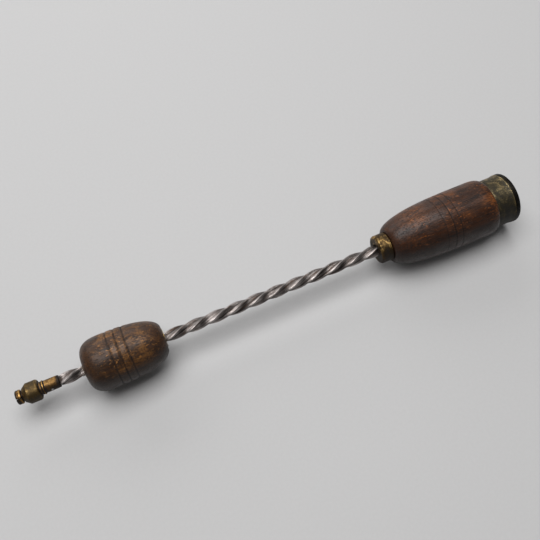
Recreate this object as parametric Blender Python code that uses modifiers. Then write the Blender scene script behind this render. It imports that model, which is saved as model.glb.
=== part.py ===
"""Archimedean (spiral push) hand drill, as its separate pieces.

The handle is held still. The bobbin slides along a twisted square spindle without turning, and so
spins the spindle and its chuck. The rear cap unscrews from a magazine for drill bits.

Every piece is modelled standing up on the drill's axis, like work in a lathe: heights are measured
from the tip of the chuck (0) to the end of the cap. One empty lays the finished drill on its side,
with the chuck towards -X and the cap towards +X, resting on the ground at Z = 0.
"""
import math

import bmesh
import bpy
from mathutils import Matrix

MM = 0.001

# --- Clearances -------------------------------------------------------------------------------
FIT = 0.3 * MM                      # gap left between any two pieces that touch

# --- Facets: multiples of four, so that a flat facet faces the ground ---------------------------
BODY_SEGMENTS = 32                  # handle, bobbin and cap
TURNED_SEGMENTS = 24                # ferrule, chuck and inner fittings
PIN_SEGMENTS = 12
SWELL_STEPS = 7                     # profile points on each swelling stretch
ARC_STEPS = 3                       # profile steps on each small rounded edge
TWIST_STEP = math.radians(12.0)     # twist between two slices of the spindle
SMOOTH_ANGLE = math.radians(40.0)   # edges of the pins sharper than this stay sharp
MERGE_DISTANCE = 0.01 * MM
CUTTER_REACH = 2.0                  # through cutters reach out to this many times a piece's radius

# --- Chuck --------------------------------------------------------------------------------------
NOSE_LENGTH = 2.3 * MM              # beaded nose of the collet
NOSE_RADIUS = 3.0 * MM
NOSE_ROUND = 0.57 * MM
NOSE_NECK_GAP = 0.7 * MM            # part of the collet's groove that shows before the sleeve
COLLET_CONE_DROP = 0.7 * MM         # from the radius of the shoulder to that of the stem
COLLET_SHOULDER_LENGTH = 1.2 * MM   # widest part, behind the sleeve's lip
COLLET_CONE_LENGTH = 1.2 * MM
COLLET_STEM_LENGTH = 2.9 * MM
COLLET_BORE_RADIUS = 0.8 * MM       # takes the shank of a drill bit
COLLET_SLIT_WIDTH = 0.6 * MM
COLLET_SOLID_LENGTH = 1.3 * MM      # rear end of the stem that the slit leaves whole
COLLET_SLIT_ANGLE = math.radians(35.0)
SLEEVE_LENGTH = 6.6 * MM
SLEEVE_RADIUS = 4.35 * MM
SLEEVE_CONE_LENGTH = 1.85 * MM
SLEEVE_CONE_DROP = 1.4 * MM         # the front edge of its cone is this much smaller in radius
SLEEVE_LIP = 0.7 * MM               # thickness of the lip that holds the collet's groove
SLEEVE_WALL = 0.7 * MM
SLEEVE_REAR_ROUND = 0.6 * MM
CHUCK_MOUTH_WALL = 0.75 * MM        # wall of the threaded front round the collet's seat
CHUCK_THREAD_RUNOUT = 0.35 * MM     # bevel from the thread down to the neck
CHUCK_NECK_LENGTH = 1.25 * MM
CHUCK_NECK_STEP = 0.57 * MM         # the neck is this much thinner in radius than the thread
CHUCK_RING_LENGTH = 0.7 * MM
CHUCK_RING_RADIUS = 2.95 * MM
CHUCK_RING_BEVEL = 0.17 * MM
CHUCK_TUBE_LENGTH = 6.2 * MM
CHUCK_TUBE_RADIUS = 2.6 * MM
CHUCK_TUBE_WALL = 0.65 * MM
CHUCK_WEB = 1.2 * MM                # solid floor between the collet's bore and the shank's bore

# --- Spindle ------------------------------------------------------------------------------------
SPIRAL_LENGTH = 143.85 * MM          # from the end of the chuck tube to the face of the ferrule
SPIRAL_FLATS = 3.8 * MM             # across the flats of the square
SPIRAL_CHAMFER = 0.194 * MM         # worn off each side of its corners: 5.1 mm across them
SPIRAL_LEAD = 36.8 * MM             # length of one full turn, left-handed
SPIRAL_PHASE = math.radians(10.0)   # turn of the square section that its twist has at the tip
JOURNAL_REDUCTION = 0.2 * MM        # the round journal is this much thinner than the flats
COLLAR_LENGTH = 3.0 * MM
COLLAR_RADIUS = 4.0 * MM
PIN_RADIUS = 0.5 * MM
CHUCK_PIN_RADIUS = 0.4 * MM
CHUCK_PIN_ANGLE = math.radians(75.0)

# --- Bobbin -------------------------------------------------------------------------------------
BOBBIN_REST = 10.55 * MM            # from the end of the chuck tube to the bobbin
BOBBIN_LENGTH = 34.7 * MM
BOBBIN_RADIUS = 11.55 * MM
BOBBIN_BELLY = 0.3                  # where it is widest, as a share of its length
BOBBIN_FRONT_SWELL = (3.0, 0.45)    # power and root of the curve from the front end to the belly
BOBBIN_REAR_SWELL = (2.6, 0.48)
BOBBIN_END_FLAT = 0.4 * MM          # flat wood left round each bush
BOBBIN_GROOVE_PITCH = 3.43 * MM
BOBBIN_GROOVE_START = 12.7 * MM     # first groove, from the front end
BOBBIN_GROOVE_WIDTH = 1.1 * MM
BOBBIN_GROOVE_DEPTH = 0.5 * MM
BOBBIN_GROOVES = 3
NUT_LENGTH = 6.0 * MM
NUT_WALL = 1.1 * MM                 # outside the corners of its square hole
BUSH_PROUD = 0.2 * MM               # the nut and the guide bush stand out of the wood by this

# --- Handle -------------------------------------------------------------------------------------
FERRULE_LENGTH = 5.3 * MM
FERRULE_RADIUS = 6.35 * MM
FERRULE_WALL = 0.9 * MM
FERRULE_ROUND = 0.8 * MM
GRIP_LENGTH = 49.4 * MM             # wood from the ferrule to the cap
GRIP_FRONT_STEP = 0.6 * MM          # the wood stands this much proud of the ferrule
GRIP_RADIUS = 12.93 * MM
GRIP_BELLY = 0.72                   # where it is widest, as a share of its length
GRIP_SWELL = (2.6, 0.52)
GRIP_SHOULDER_LENGTH = 5.0 * MM
GRIP_SHOULDER_DROP = 1.3 * MM
GRIP_LINE_START = 23.1 * MM         # first turned line, from the front of the wood
GRIP_LINE_PITCH = 3.65 * MM
GRIP_LINE_WIDTH = 0.7 * MM
GRIP_LINE_DEPTH = 0.25 * MM
GRIP_LINES = 3
BUSH_WALL = 1.0 * MM
BUSH_FLANGE = 1.2 * MM              # thickness of its flange, which fills the ferrule's bore
BUSH_LENGTH = 9.8 * MM
THRUST_DISC_THICKNESS = 1.2 * MM
PLUG_LENGTH = 4.0 * MM
PLUG_STEP = 0.9 * MM                # the plug's seat is wider than the collar's chamber by this
PLUG_SLOT = 1.2 * MM
FERRULE_PIN_LENGTH = 2.0 * MM
FERRULE_PIN_ANGLE = math.radians(200.0)

# --- Cap ----------------------------------------------------------------------------------------
CAP_BARREL_LENGTH = 8.6 * MM
CAP_RADIUS = 11.1 * MM
CAP_WALL = 1.2 * MM
CAP_FLARE_LENGTH = 2.0 * MM         # rear of the barrel that widens to the rim
CAP_RIM_LENGTH = 2.15 * MM
CAP_RIM_STEP = 0.3 * MM             # the rim is this much larger in radius than the barrel
CAP_RIM_ROUND = 0.7 * MM
CAP_SPIGOT_LENGTH = 1.6 * MM        # part of the end disc inside the barrel
RING_TAIL_LENGTH = 5.4 * MM         # part of the ring inside the wood
RING_TAIL_STEP = 0.8 * MM           # the tail is this much thinner than the neck
RING_WALL = 1.2 * MM                # wall of the tail round the bit magazine
LINER_THICKNESS = 0.8 * MM

# --- Derived heights along the axis, from the chuck's tip to the cap's end -----------------------
SLEEVE_FRONT = NOSE_LENGTH + NOSE_NECK_GAP
SLEEVE_REAR = SLEEVE_FRONT + SLEEVE_LENGTH
COLLET_SHOULDER = SLEEVE_FRONT + SLEEVE_LIP + FIT
COLLET_CONE = COLLET_SHOULDER + COLLET_SHOULDER_LENGTH
COLLET_STEM = COLLET_CONE + COLLET_CONE_LENGTH
COLLET_REAR = COLLET_STEM + COLLET_STEM_LENGTH
CHUCK_NECK = SLEEVE_REAR
CHUCK_RING = CHUCK_NECK + CHUCK_NECK_LENGTH
CHUCK_TUBE = CHUCK_RING + CHUCK_RING_LENGTH
CHUCK_REAR = CHUCK_TUBE + CHUCK_TUBE_LENGTH
SHANK_FLOOR = COLLET_REAR + FIT + CHUCK_WEB
SPIRAL_FRONT = CHUCK_REAR + FIT
FERRULE_FRONT = CHUCK_REAR + SPIRAL_LENGTH
SPIRAL_REAR = FERRULE_FRONT + FERRULE_WALL
BUSH_FRONT = SPIRAL_REAR + FIT
SPIGOT_FRONT = BUSH_FRONT + BUSH_FLANGE + FIT
GRIP_FRONT = FERRULE_FRONT + FERRULE_LENGTH + FIT
GRIP_REAR = GRIP_FRONT + GRIP_LENGTH
BUSH_REAR = BUSH_FRONT + BUSH_LENGTH
COLLAR_FRONT = BUSH_REAR + FIT
COLLAR_REAR = COLLAR_FRONT + COLLAR_LENGTH
JOURNAL_REAR = COLLAR_REAR + FIT
DISC_FRONT = JOURNAL_REAR + FIT
DISC_REAR = DISC_FRONT + THRUST_DISC_THICKNESS
PLUG_FRONT = DISC_REAR + FIT
PLUG_REAR = PLUG_FRONT + PLUG_LENGTH
CAP_FRONT = GRIP_REAR + FIT
CAP_BARREL_REAR = CAP_FRONT + CAP_BARREL_LENGTH
CAP_DISC_FRONT = CAP_BARREL_REAR + FIT
CAP_REAR = CAP_DISC_FRONT + CAP_RIM_LENGTH
CAP_SPIGOT_FRONT = CAP_DISC_FRONT - CAP_SPIGOT_LENGTH
LINER_REAR = CAP_SPIGOT_FRONT - FIT
LINER_FRONT = LINER_REAR - LINER_THICKNESS
NECK_REAR = LINER_FRONT - FIT
BOBBIN_FRONT = CHUCK_REAR + BOBBIN_REST
BOBBIN_REAR = BOBBIN_FRONT + BOBBIN_LENGTH

# --- Derived radii ------------------------------------------------------------------------------
SPIRAL_RADIUS = (SPIRAL_FLATS - SPIRAL_CHAMFER) / math.sqrt(2)
JOURNAL_RADIUS = (SPIRAL_FLATS - JOURNAL_REDUCTION) / 2
SHANK_RADIUS = CHUCK_TUBE_RADIUS - CHUCK_TUBE_WALL - FIT
SPINDLE_HOLE_RADIUS = SPIRAL_RADIUS + FIT
SLEEVE_BORE_RADIUS = SLEEVE_RADIUS - SLEEVE_WALL
THREAD_RADIUS = SLEEVE_BORE_RADIUS - FIT
CHUCK_NECK_RADIUS = THREAD_RADIUS - CHUCK_NECK_STEP
COLLET_SHOULDER_RADIUS = THREAD_RADIUS - CHUCK_MOUTH_WALL
COLLET_STEM_RADIUS = COLLET_SHOULDER_RADIUS - COLLET_CONE_DROP
COLLET_NECK_RADIUS = COLLET_STEM_RADIUS
SLEEVE_MOUTH_RADIUS = SLEEVE_RADIUS - SLEEVE_CONE_DROP
BUSH_BORE_RADIUS = JOURNAL_RADIUS + FIT
BUSH_RADIUS = BUSH_BORE_RADIUS + BUSH_WALL
SPIGOT_RADIUS = FERRULE_RADIUS - FERRULE_WALL - FIT
GRIP_FRONT_RADIUS = FERRULE_RADIUS + GRIP_FRONT_STEP
CHAMBER_RADIUS = COLLAR_RADIUS + 2 * FIT
PLUG_BORE_RADIUS = CHAMBER_RADIUS + PLUG_STEP
NUT_RADIUS = SPINDLE_HOLE_RADIUS + NUT_WALL
NUT_SEAT_RADIUS = NUT_RADIUS + FIT
CAP_RIM_RADIUS = CAP_RADIUS + CAP_RIM_STEP
CAP_BORE_RADIUS = CAP_RADIUS - CAP_WALL
NECK_RADIUS = CAP_BORE_RADIUS - FIT
RING_TAIL_RADIUS = NECK_RADIUS - RING_TAIL_STEP
MAGAZINE_RADIUS = RING_TAIL_RADIUS - RING_WALL
TOTAL_LENGTH = CAP_REAR
WIDEST_RADIUS = max(GRIP_RADIUS, BOBBIN_RADIUS, CAP_RIM_RADIUS)
LYING_HEIGHT = WIDEST_RADIUS * math.cos(math.pi / BODY_SEGMENTS)

# --- Finishes: colour, roughness, metallic ---------------------------------------------------------
DARK_WOOD = ("dark_wood", (0.105, 0.036, 0.016), 0.45, 0.0)
BOBBIN_WOOD = ("bobbin_wood", (0.13, 0.055, 0.024), 0.5, 0.0)
AGED_BRASS = ("aged_brass", (0.32, 0.23, 0.09), 0.42, 1.0)
DARK_BRASS = ("dark_brass", (0.11, 0.085, 0.045), 0.45, 1.0)
SPINDLE_STEEL = ("spindle_steel", (0.33, 0.31, 0.28), 0.36, 1.0)
HARD_STEEL = ("hard_steel", (0.42, 0.42, 0.43), 0.3, 1.0)
CORK = ("cork", (0.42, 0.26, 0.13), 0.85, 0.0)


def clear_scene():
    """Remove every object that the new file starts with."""
    for old in list(bpy.data.objects):
        bpy.data.objects.remove(old)


def new_collection(name):
    """Add a collection to the scene."""
    collection = bpy.data.collections.new(name)
    bpy.context.scene.collection.children.link(collection)
    return collection


clear_scene()
PARTS = new_collection("archimedean_drill")
CUTTERS = new_collection("cutters")
DRILL_AXIS = bpy.data.objects.new("drill_axis", None)
PARTS.objects.link(DRILL_AXIS)
DRILL_AXIS.location = (-TOTAL_LENGTH / 2, 0.0, LYING_HEIGHT)
DRILL_AXIS.rotation_euler = (0.0, math.pi / 2, 0.0)


def finish_material(finish):
    """Return the Principled material for one of the finishes."""
    name, colour, roughness, metallic = finish
    material = bpy.data.materials.get(name)
    if material is None:
        material = bpy.data.materials.new(name)
        material.use_nodes = True
        shader = material.node_tree.nodes["Principled BSDF"]
        shader.inputs["Base Color"].default_value = (*colour, 1.0)
        shader.inputs["Roughness"].default_value = roughness
        shader.inputs["Metallic"].default_value = metallic
    return material


def add_object(name, mesh, finish):
    """Put a mesh on the drill's axis, as a piece or, without a finish, as a cutter."""
    obj = bpy.data.objects.new(name, mesh)
    obj.parent = DRILL_AXIS
    if finish is None:
        CUTTERS.objects.link(obj)
        obj.hide_render = True
        obj.display_type = "WIRE"
    else:
        PARTS.objects.link(obj)
        mesh.materials.append(finish_material(finish))
    return obj


def turned(name, outline, finish, segments=TURNED_SEGMENTS):
    """Turn an outline of (radius, height) points about the axis.

    The outline runs up the outer side. It either starts and ends on the axis, or goes on down the
    bore and closes on itself.
    """
    solid = outline[0][0] == 0.0
    mesh = bpy.data.meshes.new(name)
    points = [(radius, 0.0, height) for radius, height in reversed(outline)]
    edges = [(i, i + 1) for i in range(len(points) - 1)]
    if not solid:
        edges.append((len(points) - 1, 0))
    mesh.from_pydata(points, edges, [])
    obj = add_object(name, mesh, finish)
    obj.rotation_euler.z = math.pi / segments
    screw = obj.modifiers.new("turn", "SCREW")
    screw.axis = "Z"
    screw.angle = 2 * math.pi
    screw.steps = segments
    screw.render_steps = segments
    screw.use_merge_vertices = True
    screw.merge_threshold = MERGE_DISTANCE
    screw.use_smooth_shade = True
    return obj


def rod(name, radius, low, high, finish):
    """A round bar on the axis between two heights."""
    return turned(name, [(0.0, low), (radius, low), (radius, high), (0.0, high)], finish)


def pin(name, radius, height, angle, start, end, finish):
    """A round pin across the axis, between two distances along a direction square to the axis."""
    builder = bmesh.new()
    bmesh.ops.create_cone(
        builder, cap_ends=True, segments=PIN_SEGMENTS, radius1=radius, radius2=radius,
        depth=end - start,
    )
    middle = Matrix.Translation((0.0, 0.0, (start + end) / 2))
    lay_down = Matrix.Rotation(math.pi / 2, 4, "Y")
    turn = Matrix.Rotation(angle, 4, "Z")
    lift = Matrix.Translation((0.0, 0.0, height))
    bmesh.ops.transform(builder, matrix=lift @ turn @ lay_down @ middle, verts=builder.verts)
    mesh = bpy.data.meshes.new(name)
    builder.to_mesh(mesh)
    builder.free()
    mesh.shade_smooth()
    mesh.set_sharp_from_angle(angle=SMOOTH_ANGLE)
    return add_object(name, mesh, finish)


def block(name, size, centre, angle):
    """A rectangular cutter, turned about the axis."""
    builder = bmesh.new()
    bmesh.ops.create_cube(builder, size=1.0)
    bmesh.ops.scale(builder, vec=size, verts=builder.verts)
    bmesh.ops.translate(builder, vec=centre, verts=builder.verts)
    bmesh.ops.rotate(builder, matrix=Matrix.Rotation(angle, 3, "Z"), verts=builder.verts)
    mesh = bpy.data.meshes.new(name)
    builder.to_mesh(mesh)
    builder.free()
    return add_object(name, mesh, None)


def twist_angle(height):
    """Turn of the square section at a height: left-handed, one turn for each lead."""
    return SPIRAL_PHASE - 2 * math.pi * height / SPIRAL_LEAD


def spiral_bar(name, low, high, offset, finish):
    """The twisted square bar between two heights, grown outwards by an offset."""
    half_flat = SPIRAL_FLATS / 2 + offset
    corner = SPIRAL_RADIUS + offset
    chamfer = 2 * half_flat - math.sqrt(2) * corner
    builder = bmesh.new()
    bmesh.ops.create_cube(builder, size=1.0)
    size = (2 * half_flat, 2 * half_flat, high - low)
    bmesh.ops.scale(builder, vec=size, verts=builder.verts)
    bmesh.ops.translate(builder, vec=(0.0, 0.0, (low + high) / 2), verts=builder.verts)
    upright = [edge for edge in builder.edges if edge.verts[0].co.z != edge.verts[1].co.z]
    bmesh.ops.bevel(builder, geom=upright, offset=chamfer, segments=1, affect="EDGES")
    slices = math.ceil(abs(twist_angle(high) - twist_angle(low)) / TWIST_STEP)
    for i in range(1, slices):
        height = low + (high - low) * i / slices
        geometry = builder.verts[:] + builder.edges[:] + builder.faces[:]
        bmesh.ops.bisect_plane(builder, geom=geometry, plane_co=(0, 0, height), plane_no=(0, 0, 1))
    for vertex in builder.verts:
        vertex.co = Matrix.Rotation(twist_angle(vertex.co.z), 3, "Z") @ vertex.co
    mesh = bpy.data.meshes.new(name)
    builder.to_mesh(mesh)
    builder.free()
    return add_object(name, mesh, finish)


def combine(obj, other, operation):
    """Join or cut a piece with another object through a Boolean."""
    boolean = obj.modifiers.new(operation.lower(), "BOOLEAN")
    boolean.operation = operation
    boolean.object = other
    boolean.solver = "EXACT"


def cut(obj, *cutters):
    """Cut each of the cutters out of a piece."""
    for cutter in cutters:
        combine(obj, cutter, "DIFFERENCE")


def arc(centre_radius, centre_height, size, start, end):
    """Points on a small rounded edge, with angles in degrees from the outward direction."""
    points = []
    for i in range(ARC_STEPS + 1):
        angle = math.radians(start + (end - start) * i / ARC_STEPS)
        radius = centre_radius + size * math.cos(angle)
        points.append((radius, centre_height + size * math.sin(angle)))
    return points


def rising(low, high, low_radius, high_radius, swell):
    """Profile points from a narrow end up to a belly, steep at first and level at the end."""
    power, root = swell
    points = []
    for i in range(SWELL_STEPS + 1):
        share = (i / SWELL_STEPS) ** 2
        rise = (1 - (1 - share) ** power) ** root
        points.append((low_radius + (high_radius - low_radius) * rise, low + (high - low) * share))
    return points


def falling(low, high, low_radius, high_radius, swell):
    """Profile points from a belly up to a narrow end: the same curve, mirrored."""
    mirrored = rising(0.0, high - low, high_radius, low_radius, swell)
    return [(radius, high - height) for radius, height in reversed(mirrored)]


def radius_on(points, height):
    """Radius of a rising list of profile points at a height."""
    for (r0, z0), (r1, z1) in zip(points, points[1:]):
        if z0 <= height <= z1:
            return r0 + (r1 - r0) * (height - z0) / (z1 - z0)
    raise ValueError("a groove lies outside its piece")


def grooved(points, first, pitch, count, width, depth):
    """Cut equal V grooves into profile points that run up the outer side."""
    result = list(points)
    for i in range(count):
        middle = first + i * pitch
        low = middle - width / 2
        high = middle + width / 2
        bottom = (radius_on(points, middle) - depth, middle)
        groove = [(radius_on(points, low), low), bottom, (radius_on(points, high), high)]
        below = [p for p in result if p[1] < low]
        above = [p for p in result if p[1] > high]
        result = below + groove + above
    return result


def make_collet():
    """Split collet: beaded nose, groove for the sleeve's lip, cone and stem."""
    bead = arc(NOSE_RADIUS - NOSE_ROUND, NOSE_ROUND, NOSE_ROUND, -90, 0)
    outline = bead + [
        (NOSE_RADIUS, NOSE_LENGTH),
        (COLLET_NECK_RADIUS, NOSE_LENGTH),
        (COLLET_NECK_RADIUS, COLLET_SHOULDER),
        (COLLET_SHOULDER_RADIUS, COLLET_SHOULDER),
        (COLLET_SHOULDER_RADIUS, COLLET_CONE),
        (COLLET_STEM_RADIUS, COLLET_STEM),
        (COLLET_STEM_RADIUS, COLLET_REAR),
        (COLLET_BORE_RADIUS, COLLET_REAR),
        (COLLET_BORE_RADIUS, 0.0),
    ]
    collet = turned("collet", outline, AGED_BRASS)
    slit_end = COLLET_REAR - COLLET_SOLID_LENGTH
    slit_size = (2 * CUTTER_REACH * NOSE_RADIUS, COLLET_SLIT_WIDTH, 2 * slit_end)
    cut(collet, block("collet_slit", slit_size, (0.0, 0.0, 0.0), COLLET_SLIT_ANGLE))


def make_chuck_sleeve():
    """Closing nut: front cone with an inner lip, plain outside, open at the rear."""
    shoulder = arc(
        SLEEVE_RADIUS - SLEEVE_REAR_ROUND, SLEEVE_REAR - SLEEVE_REAR_ROUND, SLEEVE_REAR_ROUND, 0, 90
    )
    lip_rear = SLEEVE_FRONT + SLEEVE_LIP
    cavity_front = COLLET_SHOULDER_RADIUS + FIT
    slope = (SLEEVE_RADIUS - SLEEVE_MOUTH_RADIUS) / SLEEVE_CONE_LENGTH
    outline = [
        (SLEEVE_MOUTH_RADIUS, SLEEVE_FRONT),
        (SLEEVE_RADIUS, SLEEVE_FRONT + SLEEVE_CONE_LENGTH),
        *shoulder[:-1],
        (SLEEVE_BORE_RADIUS, SLEEVE_REAR),
        (SLEEVE_BORE_RADIUS, lip_rear + (SLEEVE_BORE_RADIUS - cavity_front) / slope),
        (cavity_front, lip_rear),
        (COLLET_NECK_RADIUS + FIT, lip_rear),
        (COLLET_NECK_RADIUS + FIT, SLEEVE_FRONT),
    ]
    turned("chuck_sleeve", outline, AGED_BRASS)


def make_chuck_body():
    """Threaded front with a conical seat for the collet, neck, ring, and tube for the shank."""
    bore = COLLET_STEM_RADIUS + FIT
    mouth = COLLET_SHOULDER_RADIUS
    seat_depth = COLLET_CONE_LENGTH * (mouth - bore) / (mouth - COLLET_STEM_RADIUS)
    front = COLLET_CONE + 2 * FIT
    outline = [
        (0.0, COLLET_REAR + FIT),
        (bore, COLLET_REAR + FIT),
        (bore, front + seat_depth),
        (mouth, front),
        (THREAD_RADIUS, front),
        (THREAD_RADIUS, SLEEVE_REAR - CHUCK_THREAD_RUNOUT),
        (CHUCK_NECK_RADIUS, SLEEVE_REAR),
        (CHUCK_NECK_RADIUS, CHUCK_RING),
        (CHUCK_RING_RADIUS, CHUCK_RING + CHUCK_RING_BEVEL),
        (CHUCK_RING_RADIUS, CHUCK_TUBE - CHUCK_RING_BEVEL),
        (CHUCK_TUBE_RADIUS, CHUCK_TUBE),
        (CHUCK_TUBE_RADIUS, CHUCK_REAR),
        (SHANK_RADIUS + FIT, CHUCK_REAR),
        (SHANK_RADIUS + FIT, SHANK_FLOOR),
        (0.0, SHANK_FLOOR),
    ]
    return turned("chuck_body", outline, AGED_BRASS)


def make_spindle():
    """Twisted square bar with a round shank in front and a round journal behind."""
    spindle = spiral_bar("twisted_spindle", SPIRAL_FRONT, SPIRAL_REAR, 0.0, SPINDLE_STEEL)
    overlap = SPIRAL_FLATS / 2
    shank = rod("shank", SHANK_RADIUS, SHANK_FLOOR + FIT, SPIRAL_FRONT + overlap, None)
    journal = rod("journal", JOURNAL_RADIUS, SPIRAL_REAR - overlap, JOURNAL_REAR, None)
    combine(spindle, shank, "UNION")
    combine(spindle, journal, "UNION")
    return spindle


def make_collar():
    """Collar that keeps the journal from being pulled out of its bush."""
    bore = JOURNAL_RADIUS + FIT
    outline = [
        (COLLAR_RADIUS, COLLAR_FRONT),
        (COLLAR_RADIUS, COLLAR_REAR),
        (bore, COLLAR_REAR),
        (bore, COLLAR_FRONT),
    ]
    return turned("spindle_collar", outline, HARD_STEEL)


def make_cross_pins(spindle, collar, chuck_body):
    """Pins through the collar and the chuck tube, with the holes that they go through."""
    collar_height = (COLLAR_FRONT + COLLAR_REAR) / 2
    end = COLLAR_RADIUS
    reach = CUTTER_REACH * COLLAR_RADIUS
    pin("collar_pin", PIN_RADIUS, collar_height, 0.0, -end, end, HARD_STEEL)
    hole = pin("collar_pin_hole", PIN_RADIUS + FIT, collar_height, 0.0, -reach, reach, None)
    cut(collar, hole)
    cut(spindle, hole)
    chuck_height = (SHANK_FLOOR + CHUCK_REAR) / 2
    end = CHUCK_TUBE_RADIUS
    reach = CUTTER_REACH * CHUCK_TUBE_RADIUS
    pin("chuck_pin", CHUCK_PIN_RADIUS, chuck_height, CHUCK_PIN_ANGLE, -end, end, HARD_STEEL)
    radius = CHUCK_PIN_RADIUS + FIT
    hole = pin("chuck_pin_hole", radius, chuck_height, CHUCK_PIN_ANGLE, -reach, reach, None)
    cut(chuck_body, hole)
    cut(spindle, hole)


def make_bobbin():
    """Turned wooden bobbin, bored for its nut and bush, with three V grooves."""
    low = BOBBIN_FRONT + BUSH_PROUD
    high = BOBBIN_REAR - BUSH_PROUD
    belly = BOBBIN_FRONT + BOBBIN_BELLY * BOBBIN_LENGTH
    end_radius = NUT_SEAT_RADIUS + BOBBIN_END_FLAT
    front = rising(low, belly, end_radius, BOBBIN_RADIUS, BOBBIN_FRONT_SWELL)
    rear = falling(belly, high, BOBBIN_RADIUS, end_radius, BOBBIN_REAR_SWELL)
    outer = grooved(
        front + rear[1:], BOBBIN_FRONT + BOBBIN_GROOVE_START, BOBBIN_GROOVE_PITCH, BOBBIN_GROOVES,
        BOBBIN_GROOVE_WIDTH, BOBBIN_GROOVE_DEPTH,
    )
    through = SPINDLE_HOLE_RADIUS + FIT
    seat = NUT_LENGTH + FIT
    bore = [
        (NUT_SEAT_RADIUS, high),
        (NUT_SEAT_RADIUS, BOBBIN_REAR - seat),
        (through, BOBBIN_REAR - seat),
        (through, BOBBIN_FRONT + seat),
        (NUT_SEAT_RADIUS, BOBBIN_FRONT + seat),
        (NUT_SEAT_RADIUS, low),
    ]
    turned("bobbin_body", outer + bore, BOBBIN_WOOD, BODY_SEGMENTS)


def make_bobbin_bushes():
    """Nut with the twisted square hole in front, and the plain guide bush behind."""
    nut_rear = BOBBIN_FRONT + NUT_LENGTH
    nut = rod("drive_nut", NUT_RADIUS, BOBBIN_FRONT, nut_rear, AGED_BRASS)
    cut(nut, spiral_bar("nut_hole", BOBBIN_FRONT - NUT_LENGTH, nut_rear + NUT_LENGTH, FIT, None))
    bush_front = BOBBIN_REAR - NUT_LENGTH
    outline = [
        (NUT_RADIUS, bush_front),
        (NUT_RADIUS, BOBBIN_REAR),
        (SPINDLE_HOLE_RADIUS, BOBBIN_REAR),
        (SPINDLE_HOLE_RADIUS, bush_front),
    ]
    turned("guide_bush", outline, AGED_BRASS)


def make_ferrule():
    """Brass cup over the front spigot of the grip, with the spindle's hole in its face."""
    inner = FERRULE_RADIUS - FERRULE_WALL
    rear = FERRULE_FRONT + FERRULE_LENGTH
    edge = arc(
        FERRULE_RADIUS - FERRULE_ROUND, FERRULE_FRONT + FERRULE_ROUND, FERRULE_ROUND, -90, 0
    )
    outline = edge + [
        (FERRULE_RADIUS, rear),
        (inner, rear),
        (inner, FERRULE_FRONT + FERRULE_WALL),
        (SPINDLE_HOLE_RADIUS, FERRULE_FRONT + FERRULE_WALL),
        (SPINDLE_HOLE_RADIUS, FERRULE_FRONT),
    ]
    return turned("front_ferrule", outline, AGED_BRASS)


def make_grip():
    """Wooden handle: spigot, swelling body with fine turned lines, shoulder, and its bores."""
    belly = GRIP_FRONT + GRIP_BELLY * GRIP_LENGTH
    body = rising(GRIP_FRONT, belly, GRIP_FRONT_RADIUS, GRIP_RADIUS, GRIP_SWELL)
    shoulder = []
    for i in range(2 * ARC_STEPS + 1):
        angle = math.radians(90 * i / (2 * ARC_STEPS))
        radius = GRIP_RADIUS - GRIP_SHOULDER_DROP * (1 - math.cos(angle))
        height = GRIP_REAR - GRIP_SHOULDER_LENGTH * (1 - math.sin(angle))
        shoulder.append((radius, height))
    outer = grooved(
        body + shoulder, GRIP_FRONT + GRIP_LINE_START, GRIP_LINE_PITCH, GRIP_LINES,
        GRIP_LINE_WIDTH, GRIP_LINE_DEPTH,
    )
    recess = RING_TAIL_RADIUS + FIT
    recess_floor = GRIP_REAR - RING_TAIL_LENGTH - FIT
    seat = PLUG_FRONT - FIT
    spigot = [(SPIGOT_RADIUS, SPIGOT_FRONT), (SPIGOT_RADIUS, GRIP_FRONT)]
    bore = [
        (recess, GRIP_REAR),
        (recess, recess_floor),
        (MAGAZINE_RADIUS, recess_floor),
        (MAGAZINE_RADIUS, PLUG_REAR),
        (PLUG_BORE_RADIUS, PLUG_REAR),
        (PLUG_BORE_RADIUS, seat),
        (CHAMBER_RADIUS, seat),
        (CHAMBER_RADIUS, BUSH_REAR),
        (BUSH_RADIUS + FIT, BUSH_REAR),
        (BUSH_RADIUS + FIT, SPIGOT_FRONT),
    ]
    return turned("handle_grip", spigot + outer + bore, DARK_WOOD, BODY_SEGMENTS)


def make_ferrule_pin(ferrule, grip):
    """Short brad through the wall of the ferrule into the spigot."""
    height = (SPIGOT_FRONT + FERRULE_FRONT + FERRULE_LENGTH) / 2
    foot = FERRULE_RADIUS - FERRULE_PIN_LENGTH
    pin("ferrule_pin", PIN_RADIUS, height, FERRULE_PIN_ANGLE, foot, FERRULE_RADIUS, AGED_BRASS)
    hole = pin(
        "ferrule_pin_hole", PIN_RADIUS + FIT, height, FERRULE_PIN_ANGLE, foot - FIT,
        CUTTER_REACH * FERRULE_RADIUS, None,
    )
    cut(ferrule, hole)
    cut(grip, hole)


def make_bearing():
    """Flanged bush for the journal, the disc behind its end and the plug that backs the disc."""
    flange_rear = BUSH_FRONT + BUSH_FLANGE
    bush = [
        (SPIGOT_RADIUS, BUSH_FRONT),
        (SPIGOT_RADIUS, flange_rear),
        (BUSH_RADIUS, flange_rear),
        (BUSH_RADIUS, BUSH_REAR),
        (BUSH_BORE_RADIUS, BUSH_REAR),
        (BUSH_BORE_RADIUS, BUSH_FRONT),
    ]
    turned("bearing_bush", bush, AGED_BRASS)
    rod("thrust_disc", COLLAR_RADIUS, DISC_FRONT, DISC_REAR, HARD_STEEL)
    plug_radius = PLUG_BORE_RADIUS - FIT
    plug = rod("bearing_plug", plug_radius, PLUG_FRONT, PLUG_REAR, AGED_BRASS)
    slot_size = (2 * CUTTER_REACH * plug_radius, PLUG_SLOT, 2 * PLUG_SLOT)
    cut(plug, block("plug_slot", slot_size, (0.0, 0.0, PLUG_REAR), 0.0))


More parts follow.
